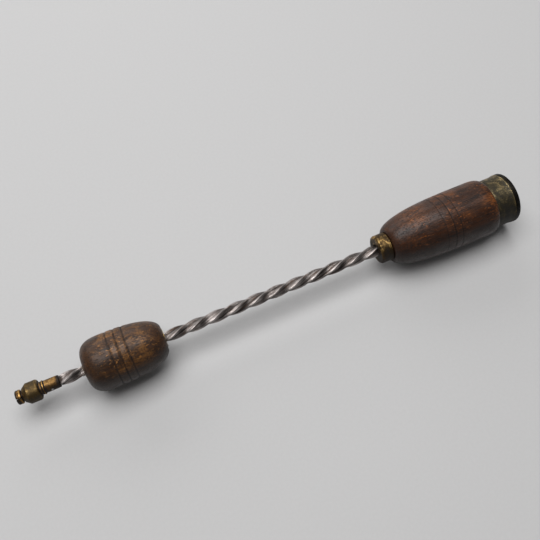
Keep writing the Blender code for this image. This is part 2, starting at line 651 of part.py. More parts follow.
def make_magazine_ring():
    """Ring in the rear end of the grip, with the neck that the cap screws on to."""
    shoulder = GRIP_REAR + FIT
    outline = [
        (RING_TAIL_RADIUS, GRIP_REAR - RING_TAIL_LENGTH),
        (RING_TAIL_RADIUS, shoulder),
        (NECK_RADIUS, shoulder),
        (NECK_RADIUS, NECK_REAR),
        (MAGAZINE_RADIUS, NECK_REAR),
        (MAGAZINE_RADIUS, GRIP_REAR - RING_TAIL_LENGTH),
    ]
    turned("magazine_ring", outline, AGED_BRASS)


def make_cap():
    """Barrel that flares into the rim, the end disc that closes it, and the loose cork liner."""
    barrel = [
        (CAP_RADIUS, CAP_FRONT),
        (CAP_RADIUS, CAP_BARREL_REAR - CAP_FLARE_LENGTH),
        (CAP_RIM_RADIUS, CAP_BARREL_REAR),
        (CAP_BORE_RADIUS, CAP_BARREL_REAR),
        (CAP_BORE_RADIUS, CAP_FRONT),
    ]
    turned("cap_barrel", barrel, DARK_BRASS, BODY_SEGMENTS)
    inset = CAP_RIM_RADIUS - CAP_RIM_ROUND
    disc = [
        (0.0, CAP_SPIGOT_FRONT),
        (NECK_RADIUS, CAP_SPIGOT_FRONT),
        (NECK_RADIUS, CAP_DISC_FRONT),
        (CAP_RIM_RADIUS, CAP_DISC_FRONT),
        *arc(inset, CAP_REAR - CAP_RIM_ROUND, CAP_RIM_ROUND, 0, 90),
        (0.0, CAP_REAR),
    ]
    turned("cap_end_disc", disc, DARK_BRASS, BODY_SEGMENTS)
    rod("cap_liner", NECK_RADIUS, LINER_FRONT, LINER_REAR, CORK)


make_collet()
make_chuck_sleeve()
make_cross_pins(make_spindle(), make_collar(), make_chuck_body())
make_bobbin()
make_bobbin_bushes()
make_ferrule_pin(make_ferrule(), make_grip())
make_bearing()
make_magazine_ring()
make_cap()
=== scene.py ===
"""Looks of the Archimedean hand drill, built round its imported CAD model.

Sizes are in millimetres until a mesh is written. Places along the drill are heights from the tip of
the chuck (0) to the end of the cap, and distances across it are radii from the drill's axis.
"""
import math

import bmesh
import bpy
import numpy as np
from mathutils import Matrix, Vector, noise


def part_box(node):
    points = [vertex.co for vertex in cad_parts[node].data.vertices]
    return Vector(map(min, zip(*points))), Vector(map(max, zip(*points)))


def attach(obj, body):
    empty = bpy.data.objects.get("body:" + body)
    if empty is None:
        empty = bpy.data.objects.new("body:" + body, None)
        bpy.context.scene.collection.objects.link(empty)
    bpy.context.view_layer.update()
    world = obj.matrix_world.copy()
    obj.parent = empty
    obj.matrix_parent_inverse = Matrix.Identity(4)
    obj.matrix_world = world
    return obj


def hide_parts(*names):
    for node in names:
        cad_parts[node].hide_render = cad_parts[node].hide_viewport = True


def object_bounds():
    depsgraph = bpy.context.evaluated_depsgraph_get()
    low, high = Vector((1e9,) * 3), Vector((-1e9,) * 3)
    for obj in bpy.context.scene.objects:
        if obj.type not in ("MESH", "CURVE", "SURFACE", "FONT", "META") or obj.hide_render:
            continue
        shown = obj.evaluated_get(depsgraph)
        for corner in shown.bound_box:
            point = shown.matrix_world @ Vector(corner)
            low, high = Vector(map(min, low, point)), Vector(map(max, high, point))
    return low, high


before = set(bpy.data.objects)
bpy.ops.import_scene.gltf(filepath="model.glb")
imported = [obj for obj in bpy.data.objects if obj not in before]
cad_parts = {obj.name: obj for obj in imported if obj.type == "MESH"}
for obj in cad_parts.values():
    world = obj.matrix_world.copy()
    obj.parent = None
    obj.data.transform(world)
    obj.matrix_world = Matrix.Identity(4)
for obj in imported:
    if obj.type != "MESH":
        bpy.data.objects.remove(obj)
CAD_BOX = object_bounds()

MM = 0.001
TINY = 1e-6
QUARTER = math.pi / 2
TURN = 2 * math.pi

# --- Places read from the frame -------------------------------------------------------------------
TIP_X = CAD_BOX[0].x
TIP = TIP_X / MM
SPINDLE_LOW, SPINDLE_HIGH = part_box("twisted_spindle")
AXIS_Z = (SPINDLE_LOW.z + SPINDLE_HIGH.z) / 2


def front(node):
    """Height at which a CAD node starts."""
    return (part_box(node)[0].x - TIP_X) / MM


def rear(node):
    """Height at which a CAD node ends."""
    return (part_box(node)[1].x - TIP_X) / MM


def reach(node):
    """Largest radius of a CAD node."""
    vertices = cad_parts[node].data.vertices
    return max(math.hypot(v.co.y, v.co.z - AXIS_Z) for v in vertices) / MM


# --- Fits shared with the CAD model ---------------------------------------------------------------
FIT = 0.3
SPIRAL_FLATS = 3.8
SPIRAL_LEAD = 36.8
SPIRAL_PHASE = math.radians(10.0)
CHUCK_PITCH = 0.75
CAP_PITCH = 1.25

# --- Fineness of the meshes -----------------------------------------------------------------------
WOOD_SEGMENTS = 144
METAL_SEGMENTS = 112
FERRULE_SEGMENTS = 160
BUSH_SEGMENTS = 96
COLLET_SEGMENTS = 80
BAR_SEGMENTS = 56
BAR_STEP = 0.34
WOOD_STEP = 0.22
BORE_STEP = 1.0
ROUNDING_STEPS = 3
ROUNDING_SHARE = 0.45  # of the shorter side of a corner, at most
STRAIGHT = 0.98  # cosine from which a corner counts as none
SHARP_ANGLE = math.radians(38.0)
BAR_SHARP_ANGLE = math.radians(50.0)

# --- Wear -----------------------------------------------------------------------------------------
WEAR_REACH = 0.3  # how far wear and dirt spread from a corner
GROOVE_POWER = 1.15  # 1 is a straight V, and more is rounder at the sides
NOISE_SHIFT = 17.0  # distance between the places where two seeds read the noise
DENT_BIAS = 0.1  # noise below minus this value is a dent
DENT_SHARE = 2.0
RIPPLE_SHARE = 0.35
RIPPLE_FINENESS = 3  # ripples to a dent
RIPPLE_SEED = 5


# --- Outlines: lists of (height, radius) ----------------------------------------------------------
def quarter_turn(steps, first=1):
    """Angles from 0 to a quarter turn, in equal steps, from the first one that is wanted."""
    return [QUARTER * i / steps for i in range(first, steps + 1)]


def soften(outline, size):
    """Round every corner of an open outline by a small size."""
    points = [np.array(p, float) for p in outline]
    result = [points[0]]
    for before, corner, after in zip(points, points[1:], points[2:]):
        back = before - corner
        ahead = after - corner
        length_back = np.linalg.norm(back)
        length_ahead = np.linalg.norm(ahead)
        if min(length_back, length_ahead) < TINY:
            continue
        if -np.dot(back, ahead) / (length_back * length_ahead) > STRAIGHT:
            result.append(corner)
            continue
        pull = min(size, ROUNDING_SHARE * length_back, ROUNDING_SHARE * length_ahead)
        start = corner + back / length_back * pull
        end = corner + ahead / length_ahead * pull
        for i in range(ROUNDING_STEPS + 1):
            t = i / ROUNDING_STEPS
            result.append((1 - t) ** 2 * start + 2 * t * (1 - t) * corner + t * t * end)
    result.append(points[-1])
    return [tuple(p) for p in result]


def refine(outline, step):
    """Add points so that no stretch of an outline is longer than a step."""
    result = [outline[0]]
    for (h0, r0), (h1, r1) in zip(outline, outline[1:]):
        parts = max(1, math.ceil(math.hypot(h1 - h0, r1 - r0) / step))
        for i in range(1, parts + 1):
            result.append((h0 + (h1 - h0) * i / parts, r0 + (r1 - r0) * i / parts))
    return result


def wrapped(outer, inner, size, step):
    """Outline of a bored piece: its outer side, back along its bore, and closed on itself."""
    return refine(soften(outer + inner + [outer[0]], size), step)[:-1]


def swelling(low, high, low_radius, high_radius, power, root, steps):
    """Smooth rise from a narrow end to a belly. The end may be higher up than the belly."""
    points = []
    for i in range(steps + 1):
        share = (i / steps) ** 2
        rise = (1 - (1 - share) ** power) ** root
        points.append((low + (high - low) * share, low_radius + (high_radius - low_radius) * rise))
    return points


def grooved(outline, grooves, width, depth):
    """Press smooth V grooves, each a place and a share of the depth, into an outline."""
    result = []
    for height, radius in outline:
        for place, share in grooves:
            near = max(0.0, 1 - abs(height - place) / (width / 2))
            radius -= depth * share * near ** GROOVE_POWER
        result.append((height, radius))
    return result


def wear_along(outline):
    """Two numbers for each point of an outline: how near a worn edge and how near a dirty nook."""
    points = np.array(outline)
    steps = np.diff(points, axis=0)
    lengths = np.maximum(np.linalg.norm(steps, axis=1), TINY)
    place = np.concatenate([[0.0], np.cumsum(lengths)])
    turn = np.diff(np.arctan2(steps[:, 1], steps[:, 0]))
    turn = (turn + np.pi) % (2 * np.pi) - np.pi
    turn = np.concatenate([[0.0], turn, [0.0]])
    spread = np.exp(-((place[:, None] - place[None, :]) / WEAR_REACH) ** 2)
    worn = spread @ np.maximum(-turn, 0.0)
    grimy = spread @ np.maximum(turn, 0.0)
    return np.clip(worn, 0, 1), np.clip(grimy, 0, 1)


# --- Reliefs: changes of radius over a turned piece -----------------------------------------------
def fine_noise(height, y, z, size, seed):
    """Smooth noise between about -1 and 1, with features of a size in mm."""
    shift = NOISE_SHIFT * seed
    points = np.stack([height.ravel() / size + shift, y.ravel() / size, z.ravel() / size], 1)
    values = np.array([noise.noise(Vector(point)) for point in points])
    return values.reshape(height.shape)


def dented(amount, size, seed, least_radius):
    """Relief of shallow dents and a finer ripple on the outer side of a turned piece."""
    def relief(height, radius, angle, y, z):
        dents = np.minimum(fine_noise(height, y, z, size, seed) + DENT_BIAS, 0.0)
        ripple = fine_noise(height, y, z, size / RIPPLE_FINENESS, seed + RIPPLE_SEED)
        change = amount * (DENT_SHARE * dents + RIPPLE_SHARE * ripple)
        return np.where(radius > least_radius, change, 0.0)
    return relief


def threaded(low, high, pitch, depth, least_radius):
    """Relief of a right-hand screw thread between two heights."""
    def relief(height, radius, angle, y, z):
        wave = 0.5 - 0.5 * np.cos(TURN * height / pitch - angle)
        fade = np.clip((height - low) / pitch, 0, 1) * np.clip((high - height) / pitch, 0, 1)
        return np.where(radius > least_radius, -depth * wave * fade, 0.0)
    return relief


def facing_ratio(angle):
    """Cosine of the turn from the nearest flat of a square bar."""
    return np.maximum(np.abs(np.cos(angle)), np.abs(np.sin(angle)))


def square_bored(radius, bore):
    """Relief that turns a round bore into the twisted square hole of the drive nut."""
    def relief(height, ring_radius, angle, y, z):
        local = np.arctan2(y, -z) - SPIRAL_PHASE + TURN * height / SPIRAL_LEAD
        hole = np.minimum((SPIRAL_FLATS / 2 + FIT) / facing_ratio(local), bore)
        share = np.clip((ring_radius - bore) / (radius - bore), 0, 1)
        return (hole - bore) * (1 - share)
    return relief


# --- Meshes ---------------------------------------------------------------------------------------
def add_mesh(name, points, faces, layers, sharp):
    """Make an object from points in mm, with float layers for its materials."""
    places = [TIP_X + points[:, 0] * MM, points[:, 1] * MM, AXIS_Z + points[:, 2] * MM]
    mesh = bpy.data.meshes.new(name)
    mesh.from_pydata(np.stack(places, 1).tolist(), [], faces)
    for layer, values in layers.items():
        values = np.asarray(values, np.float32)
        if values.ndim == 1:
            mesh.attributes.new(layer, "FLOAT", "POINT").data.foreach_set("value", values)
        else:
            attribute = mesh.attributes.new(layer, "FLOAT_VECTOR", "POINT")
            attribute.data.foreach_set("vector", values.ravel())
    shape = bmesh.new()
    shape.from_mesh(mesh)
    bmesh.ops.recalc_face_normals(shape, faces=shape.faces)
    shape.to_mesh(mesh)
    shape.free()
    mesh.shade_smooth()
    mesh.set_sharp_from_angle(angle=sharp)
    obj = bpy.data.objects.new(name, mesh)
    bpy.context.scene.collection.objects.link(obj)
    return obj


def ring_faces(rows, closed):
    """Quads between neighbouring rows of vertex numbers, with triangles at a pole."""
    faces = []
    pairs = list(zip(rows, rows[1:]))
    if closed:
        pairs.append((rows[-1], rows[0]))
    for lower, upper in pairs:
        count = len(lower)
        for j in range(count):
            k = (j + 1) % count
            face = list(dict.fromkeys((lower[j], lower[k], upper[k], upper[j])))
            if len(face) > 2:
                faces.append(face)
    return faces


def relieved(points, relief):
    """Move points away from the axis, or towards it, by a relief."""
    radius = np.hypot(points[:, 1], points[:, 2])
    angle = np.arctan2(points[:, 2], points[:, 1])
    change = relief(points[:, 0], radius, angle, points[:, 1], points[:, 2])
    scale = 1 + np.where(radius > 0, change / np.maximum(radius, TINY), 0.0)
    return points * np.stack([np.ones_like(scale), scale, scale], 1)


def lathe(name, outline, segments, relief=None):
    """Turn an outline about the axis. It closes on itself unless it starts and ends on the axis."""
    solid = outline[0][1] == 0.0
    angles = TURN * np.arange(segments) / segments
    points, rows, worn, grime = [], [], [], []
    for (height, radius), edge, nook in zip(outline, *wear_along(outline)):
        count = 1 if radius == 0.0 else segments
        first = len(points)
        rows.append([first] * segments if count == 1 else list(range(first, first + segments)))
        for angle in angles[:count]:
            points.append((height, radius * math.cos(angle), radius * math.sin(angle)))
        worn += [edge] * count
        grime += [nook] * count
    points = np.array(points)
    if relief is not None:
        points = relieved(points, relief)
    layers = {"worn": worn, "grime": grime}
    return add_mesh(name, points, ring_faces(rows, not solid), layers, SHARP_ANGLE)


# --- Materials ------------------------------------------------------------------------------------
LIT_SIDE = math.radians(72.0)  # the lit side, towards the lamps, faces this far above +Y; painted light and shade follow it
LIT_SIDE_FADE = 0.75
RUBBED_EVERYWHERE = 0.12
# share of the warm patches kept on the shaded side; the lit side gets all of them, as painted light
RUBBED_ON_SHADED_SIDE = 0.25
MIX_FACTOR, MIX_BELOW, MIX_ABOVE, MIX_RESULT = 0, 6, 7, 2  # sockets of a Mix node for colours

# Noises: frequency per mm along x, y and z, then detail, roughness, distortion and shift
WOOD_NOISES = {
    "streaks": ((0.035, 0.42, 0.42), 6.0, 0.62, 0.6, 0.0),
    "fine": ((0.09, 2.6, 2.6), 4.0, 0.6, 0.2, 3.0),
    "patches": ((0.09, 0.13, 0.13), 3.0, 0.55, 0.8, 7.0),
    "flecks": ((0.28, 1.5, 1.5), 3.0, 0.7, 0.4, 11.0),
    "turning": ((3.2, 0.32, 0.32), 3.0, 0.6, 0.3, 15.0),
    "pores": ((0.22, 3.4, 3.4), 2.0, 0.5, 0.1, 19.0),
    "smudges": ((0.2, 0.25, 0.25), 3.0, 0.5, 0.0, 23.0),
    "chips": ((0.55, 1.2, 1.2), 2.0, 0.6, 0.6, 27.0),
}
BRASS_NOISES = {
    "clouds": ((0.33, 0.33, 0.33), 5.0, 0.6, 0.5, 0.0),
    "specks": ((2.4, 2.4, 2.4), 4.0, 0.65, 0.0, 5.0),
    "round_scratches": ((9.0, 0.35, 0.35), 3.0, 0.6, 0.0, 9.0),
    "long_scratches": ((0.25, 7.0, 7.0), 3.0, 0.6, 0.0, 9.0),
    "pits": ((3.1, 3.1, 3.1), 2.0, 0.5, 0.0, 13.0),
}
BAR_NOISES = {
    "streaks": ((0.07, 2.6, 2.6), 5.0, 0.7, 0.2, 0.0),
    "hairlines": ((0.12, 9.0, 9.0), 3.0, 0.6, 0.0, 4.0),
    "patches": ((0.14, 0.3, 0.3), 4.0, 0.6, 0.8, 9.0),
    "rust": ((0.2, 1.1, 1.1), 5.0, 0.7, 0.5, 14.0),
}
STEEL_NOISES = {
    "marks": ((8.0, 0.4, 0.4), 3.0, 0.6, 0.0, 0.0),
    "spots": ((1.3, 1.3, 1.3), 4.0, 0.6, 0.3, 3.0),
}
CORK_NOISES = {"specks": ((1.8, 1.8, 1.8), 3.0, 0.6, 0.0, 0.0)}
FLOOR_NOISES = {"speckle": ((0.8, 0.8, 0.8), 3.0, 0.5, 0.0, 0.0)}


def tinted(colour, amount):
    """A colour times an amount."""
    return tuple(amount * c for c in colour)


class Surface:
    """A Principled material under construction, with coordinates in millimetres."""

    def __init__(self, name, **sockets):
        self.material = bpy.data.materials.new(name)
        self.material.use_nodes = True
        self.tree = self.material.node_tree
        self.shader = self.tree.nodes["Principled BSDF"]
        for socket, value in sockets.items():
            self.shader.inputs[socket.replace("_", " ")].default_value = value
        coords = self.tree.nodes.new("ShaderNodeTexCoord")
        self.place = self.vector("MULTIPLY", coords.outputs["Object"], (1 / MM, 1 / MM, 1 / MM))
        parts = self.node("ShaderNodeSeparateXYZ", {0: self.place})
        self.x, self.y, self.z = (parts.outputs[axis] for axis in "XYZ")

    def node(self, kind, inputs, **settings):
        """Add a node. Its inputs are linked to sockets or set to constants."""
        made = self.tree.nodes.new(kind)
        for key, value in settings.items():
            setattr(made, key, value)
        for key, value in inputs.items():
            if isinstance(value, bpy.types.NodeSocket):
                self.tree.links.new(value, made.inputs[key])
            else:
                made.inputs[key].default_value = value
        return made

    def vector(self, operation, a, b):
        """Vector arithmetic."""
        return self.node("ShaderNodeVectorMath", {0: a, 1: b}, operation=operation).outputs[0]

    def math(self, operation, a, b=0.0, c=0.0, clamp=False):
        """Arithmetic with up to three values."""
        made = self.node("ShaderNodeMath", {0: a, 1: b, 2: c}, operation=operation, use_clamp=clamp)
        return made.outputs[0]

    def times(self, *values):
        """Product of values."""
        result = values[0]
        for value in values[1:]:
            result = self.math("MULTIPLY", result, value)
        return result

    def total(self, *pairs, base=0.0):
        """Sum of values, each times its own weight, on top of a base."""
        for value, weight in pairs:
            base = self.math("MULTIPLY_ADD", value, weight, base)
        return base

    def step(self, value, low, high, to_low=0.0, to_high=1.0):
        """Smooth step of a value from low to high."""
        inputs = {0: value, 1: low, 2: high, 3: to_low, 4: to_high}
        made = self.node("ShaderNodeMapRange", inputs, interpolation_type="SMOOTHSTEP")
        return made.outputs[0]

    def under(self, value, low, high):
        """1 where a value is under low, fading to 0 at high."""
        return self.step(value, low, high, 1.0, 0.0)

    def near(self, value, middle, width):
        """1 where a value is near a middle, fading to 0 a width away."""
        away = self.math("ABSOLUTE", self.math("SUBTRACT", value, middle))
        return self.under(away, 0.0, width)

    def noises(self, recipes, seed=0.0, vector=None):
        """The noises of a table of recipes, by name."""
        made = {}
        vector = self.place if vector is None else vector
        for name, (frequency, detail, rough, distortion, shift) in recipes.items():
            place = self.vector("MULTIPLY", vector, frequency)
            offset = seed + shift
            inputs = {
                "Vector": self.vector("ADD", place, (offset, offset, offset)), "Scale": 1.0,
                "Detail": detail, "Roughness": rough, "Distortion": distortion,
            }
            made[name] = self.node("ShaderNodeTexNoise", inputs).outputs[0]
        return made

    def lit_side(self):
        """1 on the lit side, which faces the lamps, fading to 0 on the side away from them: a mask
        for painted light and shade.
        """
        above = self.math("SUBTRACT", self.z, AXIS_Z / MM)
        radius = self.math("SQRT", self.total((self.y, self.y), (above, above)))
        lean = self.total((self.y, math.cos(LIT_SIDE)), (above, math.sin(LIT_SIDE)))
        return self.step(self.math("DIVIDE", lean, radius), 0.0, LIT_SIDE_FADE)

    def attribute(self, name):
        """Value of a float layer of the mesh."""
        return self.node("ShaderNodeAttribute", {}, attribute_name=name).outputs["Fac"]

    def blend(self, amount, below, above):
        """Lay one colour over another by an amount. Each is a socket or a constant."""
        below, above = (
            colour if isinstance(colour, bpy.types.NodeSocket) else (*colour, 1.0)
            for colour in (below, above)
        )
        inputs = {MIX_FACTOR: amount, MIX_BELOW: below, MIX_ABOVE: above}
        made = self.node("ShaderNodeMix", inputs, data_type="RGBA", clamp_factor=True)
        return made.outputs[MIX_RESULT]

    def ramp(self, value, *stops):
        """Colours along a value, from stops of a position and a colour."""
        made = self.node("ShaderNodeValToRGB", {0: value})
        elements = made.color_ramp.elements
        while len(elements) < len(stops):
            elements.new(0.5)
        for element, (position, colour) in zip(elements, stops):
            element.position = position
            element.color = (*colour, 1.0)
        return made.outputs[0]

    def finish(self, colour, roughness, height=None, depth=0.0, metallic=None):
        """Connect the colour, roughness and bump, whose depth is in mm."""
        self.tree.links.new(colour, self.shader.inputs["Base Color"])
        self.tree.links.new(roughness, self.shader.inputs["Roughness"])
        if metallic is not None:
            self.tree.links.new(metallic, self.shader.inputs["Metallic"])
        if height is not None:
            inputs = {"Strength": 1.0, "Distance": depth * MM, "Height": height}
            bump = self.node("ShaderNodeBump", inputs)
            self.tree.links.new(bump.outputs[0], self.shader.inputs["Normal"])
        return self.material


def rubbed_wood(s, n, colour, warm, rubbed_places):
    """Lay warm patches, chips and worn edges over wood, most where hands have rubbed it, with the
    patches gathered on the lit side as painted light.
    """
    places = [(s.near(s.x, place, width), amount) for place, width, amount in rubbed_places]
    zone = s.total(*places, base=RUBBED_EVERYWHERE)
    # painted light: warm patches are kept mostly on the lit side
    zone = s.times(zone, s.total((s.lit_side(), 1 - RUBBED_ON_SHADED_SIDE), base=RUBBED_ON_SHADED_SIDE))
    patches = s.total((n["patches"], 0.5), (n["flecks"], 0.3), (n["turning"], 0.2))
    amount = s.math("MULTIPLY", s.step(patches, 0.45, 0.62), zone, clamp=True)
    colour = s.blend(amount, colour, warm)
    amount = s.math("MULTIPLY", s.step(n["chips"], 0.6, 0.66), zone, clamp=True)
    colour = s.blend(amount, colour, tinted(warm, 1.4))
    edges = s.times(s.attribute("worn"), s.step(n["flecks"], 0.4, 0.65), 0.4)
    return s.blend(edges, colour, warm)


def wood(name, dark, middle, warm, rubbed_places, dirt, seed):
    """Old turned hardwood: streaky grain, dark pores, rubbed warm patches, dirty grooves and
    painted shade on the side away from the lamps.
    """
    satin, dry = 0.32, 0.48
    s = Surface(name, Coat_Weight=0.05, Coat_Roughness=0.25, Specular_IOR_Level=0.33)
    n = s.noises(WOOD_NOISES, seed)
    tone = s.total((n["streaks"], 0.65), (n["fine"], 0.35))
    colour = s.ramp(tone, (0.36, dark), (0.5, middle), (0.66, tinted(middle, 1.7)))
    colour = rubbed_wood(s, n, colour, warm, rubbed_places)
    black = tinted(dark, 0.25)
    pore = s.under(n["pores"], 0.36, 0.45)
    grime = s.step(s.attribute("grime"), 0.05, 0.45)
    # painted shade: the side away from the lamps is blended towards black
    painted_shade = s.math("SUBTRACT", 1.0, s.lit_side())
    for layer, amount in ((painted_shade, 0.62), (pore, 0.75), (grime, dirt)):
        colour = s.blend(s.times(layer, amount), colour, black)
    sheen = s.step(n["smudges"], 0.3, 0.7, satin, dry)
    roughness = s.total((pore, 0.15), (grime, 0.2), base=sheen)
    height = s.total((pore, -0.6), (n["fine"], 0.5), (n["streaks"], 0.5), (n["turning"], 0.5))
    return s.finish(colour, roughness, height, depth=0.06)


def brass(name, bright, dull, stain, polish, seed, pitting, rubbed, lengthwise=False, darkened_places=()):
    """Aged brass: dull patina rubbed bright on its edges, with turning marks, stains and pits, and
    a painted highlight on its lit side.
    """
    dull_roughness, bright_roughness, patina_metallic = 0.56, 0.27, 0.55
    s = Surface(name, Metallic=1.0, Specular_IOR_Level=0.5)
    n = s.noises(BRASS_NOISES, seed)
    scratches = n["long_scratches" if lengthwise else "round_scratches"]
    grime = s.step(s.attribute("grime"), 0.04, 0.5, 0.0, 0.5)
    # darkened places join the hollows' patina; at the tube's rear end this is partly a dark ring
    # and partly painted shadow of the gap
    for place, width in darkened_places:
        grime = s.math("MAXIMUM", grime, s.near(s.x, place, width))
    # painted highlight: the lit-side term makes brass brighter and glossier on the side facing the
    # lamps
    shine = s.total(
        (n["clouds"], 1.0), (n["specks"], 0.35), (scratches, 0.35), (s.attribute("worn"), rubbed),
        (grime, -0.75), (s.lit_side(), 0.22), base=polish,
    )
    level = s.step(shine, 0.55, 1.35)
    colour = s.ramp(level, (0.05, stain), (0.42, dull), (0.85, bright))
    pits = s.under(n["pits"], 0.30, 0.40)
    colour = s.blend(s.times(pits, pitting), colour, tinted(stain, 0.3))
    sheen = s.step(level, 0.0, 1.0, dull_roughness, bright_roughness)
    roughness = s.total((pits, 0.2), (n["specks"], 0.1), base=sheen)
    metallic = s.step(level, 0.0, 0.35, patina_metallic, 1.0)
    height = s.total(
        (scratches, 0.35), (n["specks"], 0.5), (pits, -0.8 * pitting), (n["clouds"], 0.4)
    )
    return s.finish(colour, roughness, height, depth=0.03, metallic=metallic)


def spindle_steel():
    """Bright worn steel with streaks along the twist, dark hollows, brown stains and painted shade
    where it leaves the chuck.
    """
    hollow, grey, bright = (0.03, 0.026, 0.024), (0.125, 0.107, 0.10), (0.37, 0.335, 0.32)
    rust_brown = (0.13, 0.07, 0.042)
    s = Surface("spindle_steel", Metallic=1.0)
    bar = s.node("ShaderNodeAttribute", {}, attribute_name="bar").outputs["Vector"]
    n = s.noises(BAR_NOISES, vector=bar)
    # painted shade on the bar where it leaves the chuck's tube
    painted_chuck_shade = s.near(s.x, TIP + rear("chuck_body"), 2.4)
    light = s.total(
        (n["streaks"], 1.5), (n["hairlines"], 0.6), (n["patches"], 0.9),
        (s.attribute("corner"), 0.3), (painted_chuck_shade, -0.5), base=-1.1,
    )
    level = s.step(light, 0.15, 0.75)
    colour = s.ramp(level, (0.0, hollow), (0.45, grey), (0.95, bright))
    rust = s.step(n["rust"], 0.52, 0.66)
    colour = s.blend(s.times(rust, 0.7), colour, rust_brown)
    roughness = s.total((rust, 0.2), base=s.step(level, 0.0, 1.0, 0.52, 0.38))
    height = s.total((n["streaks"], 0.5), (n["hairlines"], 0.35), (rust, -0.3))
    return s.finish(colour, roughness, height, depth=0.09)


def hard_steel():
    """Ground steel of the hidden bearing parts and pins."""
    grey, bright = (0.28, 0.27, 0.27), (0.5, 0.5, 0.5)
    s = Surface("hard_steel", Metallic=1.0)
    n = s.noises(STEEL_NOISES)
    colour = s.ramp(n["spots"], (0.3, grey), (0.7, bright))
    roughness = s.step(n["spots"], 0.3, 0.7, 0.38, 0.26)
    height = s.total((n["marks"], 1.0), (n["spots"], 1.0))
    return s.finish(colour, roughness, height, depth=0.01)


def cork():
    """Pressed cork: light crumbs with dark specks."""
    brown, pale, speck = (0.26, 0.14, 0.06), (0.5, 0.32, 0.16), (0.06, 0.03, 0.015)
    s = Surface("cork", Roughness=0.9)
    crumbs = s.node("ShaderNodeTexVoronoi", {"Vector": s.place, "Scale": 1.1}).outputs["Color"]
    tone = s.node("ShaderNodeSeparateColor", {0: crumbs}).outputs[0]
    colour = s.ramp(tone, (0.0, brown), (1.0, pale))
    specks = s.under(s.noises(CORK_NOISES)["specks"], 0.32, 0.42)
    colour = s.blend(specks, colour, speck)
    roughness = s.step(tone, 0.0, 1.0, 0.8, 0.95)
    return s.finish(colour, roughness, s.total((tone, 1.0), (specks, -1.0)), depth=0.15)


# --- Sizes that several pieces share --------------------------------------------------------------
GRIP_FRONT = rear("front_ferrule") + FIT
GRIP_REAR = rear("handle_grip")
CAP_WALL = 1.5
NECK_WALL = 0.8
MAGAZINE_WALL = 1.2
CAP_BORE_RADIUS = reach("cap_barrel") - CAP_WALL
NECK_RADIUS = CAP_BORE_RADIUS - FIT
TAIL_RADIUS = NECK_RADIUS - NECK_WALL
MAGAZINE_RADIUS = TAIL_RADIUS - MAGAZINE_WALL
COLLET_BORE_RADIUS = 0.8
COLLET_STEM_RADIUS = 1.9
COLLET_CONE_RADIUS = 2.6


# --- Pieces ---------------------------------------------------------------------------------------
def put(obj, node, body, material):
    """Let a piece stand for its CAD node."""
    obj.data.materials.append(material)
    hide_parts(node)
    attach(obj, body)


def grip_body():
    """Outer side of the handle: swelling front, fine turned lines and rounded rear shoulder."""
    radius = reach("handle_grip")
    belly_share, start_rise = 0.72, 0.6
    shoulder_length, shoulder_drop = 5.0, 1.3
    lines = ((23.1, 0.7), (27.0, 1.4), (30.3, 0.9))  # place behind the ferrule, share of the depth
    line_width, line_depth = 0.5, 0.09
    belly = GRIP_FRONT + belly_share * (GRIP_REAR - GRIP_FRONT)
    start_radius = reach("front_ferrule") + start_rise
    body = swelling(GRIP_FRONT, belly, start_radius, radius, power=2.6, root=0.52, steps=60)
    body.append((GRIP_REAR - shoulder_length, radius))
    for angle in quarter_turn(14):
        body.append((
            GRIP_REAR - shoulder_length * (1 - math.sin(angle)),
            radius - shoulder_drop * (1 - math.cos(angle)),
        ))
    places = [(GRIP_FRONT + place, share) for place, share in lines]
    return grooved(refine(body, WOOD_STEP), places, line_width, line_depth)


def make_grip(material):
    """Handle: spigot, body, and the bores for its bearing, plug and magazine ring."""
    spigot_length, spigot_gap, spigot_edge, bore_edge = 8.3, 0.02, 0.05, 0.12
    plug_seat, collar_room, bush_seat = 5.5, 4.6, 3.4
    plug_front, plug_end = front("bearing_plug"), rear("bearing_plug")
    bush_end, ring_front = rear("bearing_bush"), front("magazine_ring")
    body = grip_body()
    spigot_front = bush_end - spigot_length
    spigot = [
        (spigot_front, reach("bearing_bush")), (GRIP_FRONT - spigot_gap, reach("bearing_bush")),
    ]
    inner = [
        (GRIP_REAR, TAIL_RADIUS + FIT), (ring_front - FIT, TAIL_RADIUS + FIT),
        (ring_front - FIT, MAGAZINE_RADIUS), (plug_end, MAGAZINE_RADIUS), (plug_end, plug_seat),
        (plug_front - FIT, plug_seat), (plug_front - FIT, collar_room), (bush_end, collar_room),
        (bush_end, bush_seat), (spigot_front, bush_seat),
    ]
    edge = soften([spigot[1], body[0], body[1]], spigot_edge)
    outline = refine(spigot, BORE_STEP) + edge[1:-1] + body[1:]
    outline += refine(soften([body[-1]] + inner, bore_edge), BORE_STEP)[1:]
    relief = dented(0.02, size=5.0, seed=1, least_radius=8.0)
    obj = lathe("handle_grip_wood", outline, WOOD_SEGMENTS, relief)
    put(obj, "handle_grip", "handle", material)


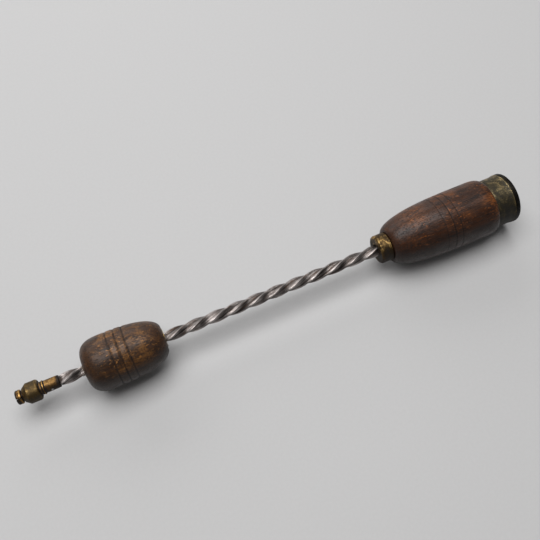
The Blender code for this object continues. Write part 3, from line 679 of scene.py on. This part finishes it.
def make_bobbin(material):
    """Bobbin: full front, tapering rear, three V grooves, bored for its nut and bush."""
    belly_share, lip, bore_radius, bore_edge = 0.3, 0.4, 3.15, 0.1
    grooves = ((12.7, 0.9), (16.1, 1.0), (19.55, 0.9))  # place behind the nut's front, depth share
    groove_width, groove_depth = 1.7, 0.28
    low, high, radius = front("bobbin_body"), rear("bobbin_body"), reach("bobbin_body")
    nut_front, nut_end, bush_front = front("drive_nut"), rear("drive_nut"), front("guide_bush")
    belly = nut_front + belly_share * (rear("guide_bush") - nut_front)
    seat = reach("drive_nut") + FIT
    body = swelling(low, belly, seat + lip, radius, power=3.0, root=0.45, steps=50)
    tail = swelling(high, belly, seat + lip, radius, power=2.6, root=0.48, steps=60)
    places = [(nut_front + place, share) for place, share in grooves]
    body = grooved(refine(body + tail[-2::-1], WOOD_STEP), places, groove_width, groove_depth)
    inner = [
        (high, seat), (bush_front - FIT, seat), (bush_front - FIT, bore_radius),
        (nut_end + FIT, bore_radius), (nut_end + FIT, seat), (low, seat),
    ]
    bore = refine(soften([body[-1]] + inner + [body[0]], bore_edge), BORE_STEP)
    relief = dented(0.025, size=4.5, seed=2, least_radius=7.0)
    obj = lathe("bobbin_wood", body + bore[1:-1], WOOD_SEGMENTS, relief)
    put(obj, "bobbin_body", "bobbin", material)


def bar_section(turn):
    """Radii of the worn square bar at angles round it, and how near a corner each of them is."""
    corner_reach, sharpness = 2.55, 14.0
    hollow, hollow_power = 0.13, 1.5
    facing = facing_ratio(turn)
    corner = (1 / facing - 1) / (math.sqrt(2) - 1)
    flat = SPIRAL_FLATS / 2 / facing
    radii = (flat ** -sharpness + corner_reach ** -sharpness) ** (-1 / sharpness)
    radii = radii * corner_reach / radii.max()
    return radii - hollow * (1 - corner) ** hollow_power, corner


def bar_rings(section):
    """Rings of the spindle, each a height and its radii: shank, twisted bar and journal."""
    shank_radius, journal_radius = 1.65, 1.8
    low = rear("chuck_body") + FIT
    high = front("bearing_bush") - FIT
    shank = np.full(BAR_SEGMENTS, shank_radius)
    journal = np.full(BAR_SEGMENTS, journal_radius)
    steps = math.ceil((high - low) / BAR_STEP)
    rings = [(front("twisted_spindle"), shank), (low, shank)]
    rings += [(low + (high - low) * i / steps, section) for i in range(steps + 1)]
    return rings + [(high, journal), (rear("twisted_spindle"), journal)]


def make_spindle(material):
    """Twisted square bar with slightly hollow faces and worn corners, shank and journal."""
    grain_radius = 2.2
    nick_size, nick_seed, nick_bias, nick_depth, nick_least_radius = 1.6, 3, 0.15, 0.05, 0.5
    start, end = front("twisted_spindle"), rear("twisted_spindle")
    turn = TURN * np.arange(BAR_SEGMENTS) / BAR_SEGMENTS
    section, corner = bar_section(turn)
    points, rows, bar, corners = [(start, 0.0, 0.0)], [[0] * BAR_SEGMENTS], [(0, 0, 0)], [0.0]
    for height, radii in bar_rings(section):
        rows.append(list(range(len(points), len(points) + BAR_SEGMENTS)))
        angles = turn + SPIRAL_PHASE - TURN * height / SPIRAL_LEAD
        for angle, t, radius, near_corner in zip(angles, turn, radii, corner):
            points.append((height, radius * math.sin(angle), -radius * math.cos(angle)))
            bar.append((height, grain_radius * math.cos(t), grain_radius * math.sin(t)))
            corners.append(near_corner if radii is section else 0.0)
    rows.append([len(points)] * BAR_SEGMENTS)
    points.append((end, 0.0, 0.0))
    bar.append((end, 0.0, 0.0))
    corners.append(0.0)
    points = np.array(points)
    radius = np.hypot(points[:, 1], points[:, 2])
    nicks = np.minimum(fine_noise(*points.T, nick_size, nick_seed) + nick_bias, 0.0)
    scale = 1 + nick_depth * nicks / np.maximum(radius, nick_least_radius)
    points[:, 1:] *= scale[:, None]
    layers = {"bar": np.array(bar), "corner": corners, "grime": np.zeros(len(points))}
    faces = ring_faces(rows, closed=False)
    obj = add_mesh("twisted_spindle_bar", points, faces, layers, BAR_SHARP_ANGLE)
    put(obj, "twisted_spindle", "spindle", material)


def make_ferrule(material):
    """Brass cup with a rolled front edge."""
    hole, wall = 2.85, 0.9
    low, high, radius = front("front_ferrule"), rear("front_ferrule"), reach("front_ferrule")
    outer = [(low, hole), (low, radius - wall)]
    for angle in quarter_turn(8):
        outer.append((low + wall * (1 - math.cos(angle)), radius - wall * (1 - math.sin(angle))))
    outer.append((high, radius))
    inner = [(high, radius - wall), (low + wall, radius - wall), (low + wall, hole)]
    relief = dented(0.05, size=1.3, seed=4, least_radius=5.0)
    outline = wrapped(outer, inner, size=0.12, step=0.25)
    obj = lathe("ferrule_cup", outline, FERRULE_SEGMENTS, relief)
    put(obj, "front_ferrule", "handle", material)


def make_sleeve(material):
    """Closing nut with a front cone, a straight skirt and a rounded rear."""
    cone_length, cone_drop, rear_length, rear_drop = 1.85, 1.4, 1.1, 0.65
    lip, lip_hole, cone_seat, seat_length, thread_radius = 0.7, 2.2, 2.9, 1.0, 3.65
    low, high, radius = front("chuck_sleeve"), rear("chuck_sleeve"), reach("chuck_sleeve")
    outer = [(low, radius - cone_drop), (low + cone_length, radius), (high - rear_length, radius)]
    for angle in quarter_turn(8):
        outer.append((
            high - rear_length * (1 - math.sin(angle)), radius - rear_drop * (1 - math.cos(angle))
        ))
    inner = [
        (high, thread_radius), (low + lip + seat_length, thread_radius), (low + lip, cone_seat),
        (low + lip, lip_hole), (low, lip_hole),
    ]
    relief = dented(0.045, size=1.1, seed=6, least_radius=2.8)
    outline = wrapped(outer, inner, size=0.15, step=0.22)
    obj = lathe("chuck_sleeve_nut", outline, METAL_SEGMENTS, relief)
    put(obj, "chuck_sleeve", "sleeve", material)


def make_chuck(material):
    """Chuck body: threaded front, neck, ring and tube."""
    stem_hole, seat_length, thread_radius, thread_depth, thread_least = 2.2, 0.64, 3.35, 0.3, 3.0
    neck_length, neck_radius, neck_start_radius, neck_rise, runout = 1.25, 2.7, 2.78, 0.35, 0.05
    ring_length, ring_radius, ring_rise = 0.7, 2.95, 0.12
    tube_radius, tube_end_radius, tube_end_length, tube_end_rise = 2.6, 2.52, 0.75, 0.05
    shank_hole, edge, step = 1.95, 0.1, 0.13
    low, high, sleeve_end = front("chuck_body"), rear("chuck_body"), rear("chuck_sleeve")
    ring = sleeve_end + neck_length
    tube = ring + ring_length
    collet_end = rear("collet") + FIT
    shank_floor = front("twisted_spindle") - FIT
    outline = [
        (collet_end, 0.0), (collet_end, stem_hole), (low + seat_length, stem_hole),
        (low, COLLET_CONE_RADIUS), (low, thread_radius), (sleeve_end - neck_rise, thread_radius),
        (sleeve_end, neck_start_radius), (ring, neck_radius), (ring + ring_rise, ring_radius),
        (tube - ring_rise, ring_radius), (tube, tube_radius), (high - tube_end_length, tube_radius),
        (high - tube_end_length + tube_end_rise, tube_end_radius), (high, tube_end_radius),
        (high, shank_hole), (shank_floor, shank_hole), (shank_floor, 0.0),
    ]
    outline = refine(soften(outline, edge), step)
    thread_end = sleeve_end - neck_rise - runout
    relief = threaded(low, thread_end, CHUCK_PITCH, thread_depth, thread_least)
    obj = lathe("chuck_body_turned", outline, METAL_SEGMENTS, relief)
    put(obj, "chuck_body", "spindle", material)


def add_cutter(size, centre, turn):
    """Box, turned about the drill's axis, to cut a piece with."""
    shape = bmesh.new()
    bmesh.ops.create_cube(shape, size=1.0)
    bmesh.ops.scale(shape, vec=[c * MM for c in size], verts=shape.verts)
    bmesh.ops.rotate(shape, matrix=Matrix.Rotation(turn, 3, "X"), verts=shape.verts)
    bmesh.ops.translate(shape, vec=(TIP_X + centre * MM, 0.0, AXIS_Z), verts=shape.verts)
    mesh = bpy.data.meshes.new("cutter")
    shape.to_mesh(mesh)
    shape.free()
    cutter = bpy.data.objects.new("cutter", mesh)
    bpy.context.scene.collection.objects.link(cutter)
    return cutter


def cut_box(obj, size, centre, turn):
    """Cut a box, turned about the drill's axis, out of a piece."""
    cutter = add_cutter(size, centre, turn)
    boolean = obj.modifiers.new("cut", "BOOLEAN")
    boolean.object = cutter
    boolean.solver = "EXACT"
    bpy.context.view_layer.update()
    graph = bpy.context.evaluated_depsgraph_get()
    cut_mesh = bpy.data.meshes.new_from_object(obj.evaluated_get(graph))
    obj.modifiers.clear()
    obj.data = cut_mesh
    cut_mesh.name = obj.name
    bpy.data.objects.remove(cutter)
    cut_mesh.shade_smooth()
    cut_mesh.set_sharp_from_angle(angle=SHARP_ANGLE)


def make_collet(material):
    """Split collet with a beaded nose, the groove behind it, and its hidden cone."""
    mouth_depth, mouth_radius, face_radius = 0.12, 0.95, 2.1
    bead_length, bead_rise, bead_end, bead_radius = 0.6, 0.85, 1.0, 2.97
    line_start, line_end, line_radius, line_slope = 1.1, 1.3, 2.85, 0.1
    nose_end, nose_radius, nose_edge = 2.3, 3.0, 0.25
    cone_start, cone_end, cone_foot = 1.0, 2.2, 3.4  # from the front of the sleeve
    slit_width, slit_height, slit_rest, slit_turn = 0.6, 12.0, 1.3, math.radians(35.0)
    sleeve, end = front("chuck_sleeve"), rear("collet")
    outline = [(mouth_depth, COLLET_BORE_RADIUS), (0.0, mouth_radius), (0.0, face_radius)]
    for angle in quarter_turn(7):
        outline.append((
            bead_length * (1 - math.cos(angle)), face_radius + bead_rise * math.sin(angle)
        ))
    outline += [
        (bead_end, bead_radius), (line_start, line_radius), (line_end, line_radius),
        (line_end + line_slope, nose_radius), (nose_end - nose_edge, nose_radius),
        (nose_end, nose_radius - nose_edge), (nose_end, COLLET_STEM_RADIUS),
        (sleeve + cone_start, COLLET_STEM_RADIUS), (sleeve + cone_start, COLLET_CONE_RADIUS),
        (sleeve + cone_end, COLLET_CONE_RADIUS), (sleeve + cone_foot, COLLET_STEM_RADIUS),
        (end, COLLET_STEM_RADIUS), (end, COLLET_BORE_RADIUS),
    ]
    obj = lathe("collet_jaws", wrapped(outline, [], size=0.07, step=0.2), COLLET_SEGMENTS)
    cut_box(obj, (2 * (end - slit_rest), slit_width, slit_height), 0.0, slit_turn)
    put(obj, "collet", "collet", material)


def make_bushes(material):
    """Nut with the twisted square hole, and plain guide bush, in the bobbin's ends."""
    bore = 2.85
    for node in ("drive_nut", "guide_bush"):
        low, high, radius = front(node), rear(node), reach(node)
        outer, inner = [(low, radius), (high, radius)], [(high, bore), (low, bore)]
        relief = square_bored(radius, bore) if node == "drive_nut" else None
        outline = wrapped(outer, inner, size=0.15, step=0.3)
        obj = lathe(node + "_brass", outline, BUSH_SEGMENTS, relief)
        put(obj, node, "bobbin", material)


def make_cap_barrel(material):
    """Barrel of the screw cap, which flares to its rim."""
    flare_length, flare, flare_power, flare_steps = 2.6, 0.3, 2.2, 10
    edge_length, edge_drop = 0.35, 0.05
    low, high = front("cap_barrel"), rear("cap_barrel")
    radius = reach("cap_end_disc") - flare
    outer = [(low, radius - edge_drop), (low + edge_length, radius), (high - flare_length, radius)]
    for i in range(1, flare_steps + 1):
        share = i / flare_steps
        outer.append((
            high - flare_length + flare_length * share, radius + flare * share ** flare_power
        ))
    inner = [(high, CAP_BORE_RADIUS), (low, CAP_BORE_RADIUS)]
    relief = dented(0.035, size=2.6, seed=8, least_radius=10.0)
    outline = wrapped(outer, inner, size=0.12, step=0.3)
    obj = lathe("cap_barrel_shell", outline, WOOD_SEGMENTS, relief)
    put(obj, "cap_barrel", "cap", material)


def make_cap_disc(material):
    """Rounded rim and slightly sunk end plate of the cap."""
    rounding, rim_overhang, barrel_gap, edge, step = 0.95, 0.03, 0.04, 0.15, 0.3
    rim_width, rim_slope, plate_slope, plate_depth, plate_sag = 2.0, 0.05, 0.6, 0.5, 0.05
    low, end, radius = front("cap_end_disc"), rear("cap_end_disc"), reach("cap_end_disc")
    disc_front = rear("cap_barrel") + barrel_gap
    outline = [(low, 0.0), (low, NECK_RADIUS), (disc_front, NECK_RADIUS), (disc_front, radius)]
    for angle in quarter_turn(10, first=0):
        outline.append((
            end - rounding * (1 - math.sin(angle)),
            radius + rim_overhang - rounding * (1 - math.cos(angle)),
        ))
    outline += [
        (end - rim_slope, radius - rim_width),
        (end - plate_depth, radius - rim_width - plate_slope),
        (end - plate_depth - plate_sag, 0.0),
    ]
    outline = refine(soften(outline, edge), step)
    relief = dented(0.03, size=2.2, seed=9, least_radius=10.0)
    obj = lathe("cap_rim_disc", outline, WOOD_SEGMENTS, relief)
    put(obj, "cap_end_disc", "cap", material)


def make_magazine_ring(material):
    """Brass ring with the threaded neck under the cap."""
    thread_depth = 0.35
    tail, neck_end, shoulder = front("magazine_ring"), rear("magazine_ring"), GRIP_REAR + FIT
    outer = [
        (tail, TAIL_RADIUS), (shoulder, TAIL_RADIUS), (shoulder, NECK_RADIUS),
        (neck_end, NECK_RADIUS),
    ]
    inner = [(neck_end, MAGAZINE_RADIUS), (tail, MAGAZINE_RADIUS)]
    relief = threaded(shoulder, neck_end, CAP_PITCH, thread_depth, NECK_RADIUS - FIT)
    outline = wrapped(outer, inner, size=0.12, step=0.2)
    obj = lathe("magazine_ring_threaded", outline, METAL_SEGMENTS, relief)
    put(obj, "magazine_ring", "handle", material)


def dress(material, *nodes):
    """Give kept CAD nodes their material."""
    for node in nodes:
        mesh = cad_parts[node].data
        mesh.materials.clear()
        mesh.materials.append(material)


# A rubbed place is a place on the x axis, a width and an amount, a darkened one a place and a
# width.
HANDLE_WOOD = wood(
    "handle_wood", dark=(0.0095, 0.0038, 0.0022), middle=(0.038, 0.0136, 0.006),
    warm=(0.2, 0.065, 0.0155), dirt=0.7, seed=2.0,
    rubbed_places=((66.0, 9.0, 0.6), (83.0, 9.0, 0.8), (101.0, 8.0, 0.75)),
)
BOBBIN_WOOD = wood(
    "bobbin_wood", dark=(0.011, 0.005, 0.0028), middle=(0.043, 0.018, 0.0074),
    warm=(0.235, 0.102, 0.025), dirt=0.62, seed=31.0,
    rubbed_places=((-72.0, 9.0, 1.0), (-60.0, 10.0, 0.7)),
)
CHUCK_BRASS = brass(
    "chuck_brass", bright=(0.42, 0.245, 0.08), dull=(0.17, 0.095, 0.036),
    stain=(0.022, 0.014, 0.010), polish=-0.15, seed=3.0, pitting=0.3, rubbed=0.3,
    # darker bands: at the tube's rear end a dark ring with painted shadow of the gap, and at the
    # front of the collet's nose
    darkened_places=((TIP + rear("chuck_body"), 1.5), (TIP + 0.2, 1.3)),
)
SLEEVE_BRASS = brass(
    "sleeve_brass", bright=(0.24, 0.155, 0.06), dull=(0.125, 0.082, 0.034),
    stain=(0.045, 0.032, 0.018), polish=-0.22, seed=8.0, pitting=0.6, rubbed=0.2,
)
FERRULE_BRASS = brass(
    "ferrule_brass", bright=(0.66, 0.42, 0.15), dull=(0.095, 0.06, 0.028),
    stain=(0.022, 0.016, 0.011), polish=-0.19, seed=14.0, pitting=0.7, rubbed=0.12,
)
CAP_BRASS = brass(
    "cap_brass", bright=(0.46, 0.34, 0.16), dull=(0.10, 0.083, 0.052),
    stain=(0.021, 0.019, 0.015), polish=-0.18, seed=21.0, pitting=0.3, rubbed=0.1, lengthwise=True,
)
RIM_BRASS = brass(
    "cap_rim", bright=(0.05, 0.042, 0.03), dull=(0.018, 0.016, 0.013),
    stain=(0.008, 0.0075, 0.007), polish=-0.2, seed=27.0, pitting=0.3, rubbed=0.1,
)
INNER_BRASS = brass(
    "inner_brass", bright=(0.34, 0.23, 0.10), dull=(0.14, 0.095, 0.042),
    stain=(0.03, 0.021, 0.013), polish=-0.06, seed=33.0, pitting=0.3, rubbed=0.1,
)

make_grip(HANDLE_WOOD)
make_bobbin(BOBBIN_WOOD)
make_spindle(spindle_steel())
make_ferrule(FERRULE_BRASS)
make_sleeve(SLEEVE_BRASS)
make_chuck(CHUCK_BRASS)
make_collet(CHUCK_BRASS)
make_bushes(INNER_BRASS)
make_cap_barrel(CAP_BRASS)
make_cap_disc(RIM_BRASS)
make_magazine_ring(INNER_BRASS)
dress(INNER_BRASS, "bearing_bush", "bearing_plug")
dress(hard_steel(), "thrust_disc", "spindle_collar", "collar_pin", "chuck_pin")
dress(FERRULE_BRASS, "ferrule_pin")
dress(cork(), "cap_liner")


# --- Floor, light and camera, in metres -----------------------------------------------------------
FLOOR_HALF = 4.0
FLOOR_DROP = 0.0001
FLOOR_DARKER = (0.555, 0.552, 0.552)
FLOOR_LIGHTER = (0.57, 0.567, 0.567)
SOFTBOX = {"location": (-0.06, 0.25, 1.18), "size": (1.2, 0.9), "power": 14.8}
BACK_PANEL = {"location": (-0.1, 1.20, 0.55), "size": (1.6, 0.6), "power": 6.0}
WORLD_COLOUR = (1.0, 0.985, 0.985, 1.0)
WORLD_STRENGTH = 0.105
CAMERA_AZIMUTH = math.radians(24.10)
CAMERA_ELEVATION = math.radians(65.0)
CAMERA_DISTANCE = 0.300
CAMERA_LENS = 47.02
CAMERA_SENSOR = 36.0
AIM_X, AIM_RIGHT, AIM_UP = -0.0048, 0.00132, 0.0108


def make_floor():
    """Wide pale floor under the drill."""
    mesh = bpy.data.meshes.new("floor")
    half = FLOOR_HALF
    corners = [(-half, -half, 0.0), (half, -half, 0.0), (half, half, 0.0), (-half, half, 0.0)]
    mesh.from_pydata(corners, [], [(0, 1, 2, 3)])
    floor = bpy.data.objects.new("floor", mesh)
    floor.location.z = -FLOOR_DROP
    bpy.context.scene.collection.objects.link(floor)
    s = Surface("floor", Specular_IOR_Level=0.2)
    speckle = s.noises(FLOOR_NOISES)["speckle"]
    colour = s.ramp(speckle, (0.3, FLOOR_DARKER), (0.7, FLOOR_LIGHTER))
    roughness = s.step(speckle, 0.3, 0.7, 0.55, 0.6)
    mesh.materials.append(s.finish(colour, roughness))


def add_area(name, location, size, power):
    """Rectangular soft light aimed at the origin."""
    data = bpy.data.lights.new(name, "AREA")
    data.shape = "RECTANGLE"
    data.size, data.size_y = size
    data.energy = power
    light = bpy.data.objects.new(name, data)
    light.location = location
    light.rotation_euler = (-Vector(location)).to_track_quat("-Z", "Y").to_euler()
    bpy.context.scene.collection.objects.link(light)


def make_world():
    """Even, almost white fill light."""
    world = bpy.data.worlds.new("studio")
    world.use_nodes = True
    background = world.node_tree.nodes["Background"]
    background.inputs["Color"].default_value = WORLD_COLOUR
    background.inputs["Strength"].default_value = WORLD_STRENGTH
    bpy.context.scene.world = world


def make_camera():
    """Camera above the near side, turned so that the drill rises to the right."""
    azimuth, elevation = CAMERA_AZIMUTH, CAMERA_ELEVATION
    right = Vector((math.cos(azimuth), -math.sin(azimuth), 0.0))
    ahead = Vector((math.sin(azimuth), math.cos(azimuth), 0.0))
    up = ahead * math.sin(elevation) + Vector((0, 0, math.cos(elevation)))
    view = ahead * math.cos(elevation) - Vector((0, 0, math.sin(elevation)))
    aim = Vector((AIM_X, 0.0, AXIS_Z)) + right * AIM_RIGHT + up * AIM_UP
    data = bpy.data.cameras.new("camera")
    data.lens = CAMERA_LENS
    data.sensor_width = CAMERA_SENSOR
    camera = bpy.data.objects.new("camera", data)
    camera.location = aim - view * CAMERA_DISTANCE
    camera.rotation_euler = (QUARTER - elevation, 0.0, -azimuth)
    bpy.context.scene.collection.objects.link(camera)
    bpy.context.scene.camera = camera


make_floor()
make_world()
add_area("softbox", **SOFTBOX)
add_area("back_panel", **BACK_PANEL)
make_camera()
bpy.context.scene.view_settings.view_transform = "Standard"
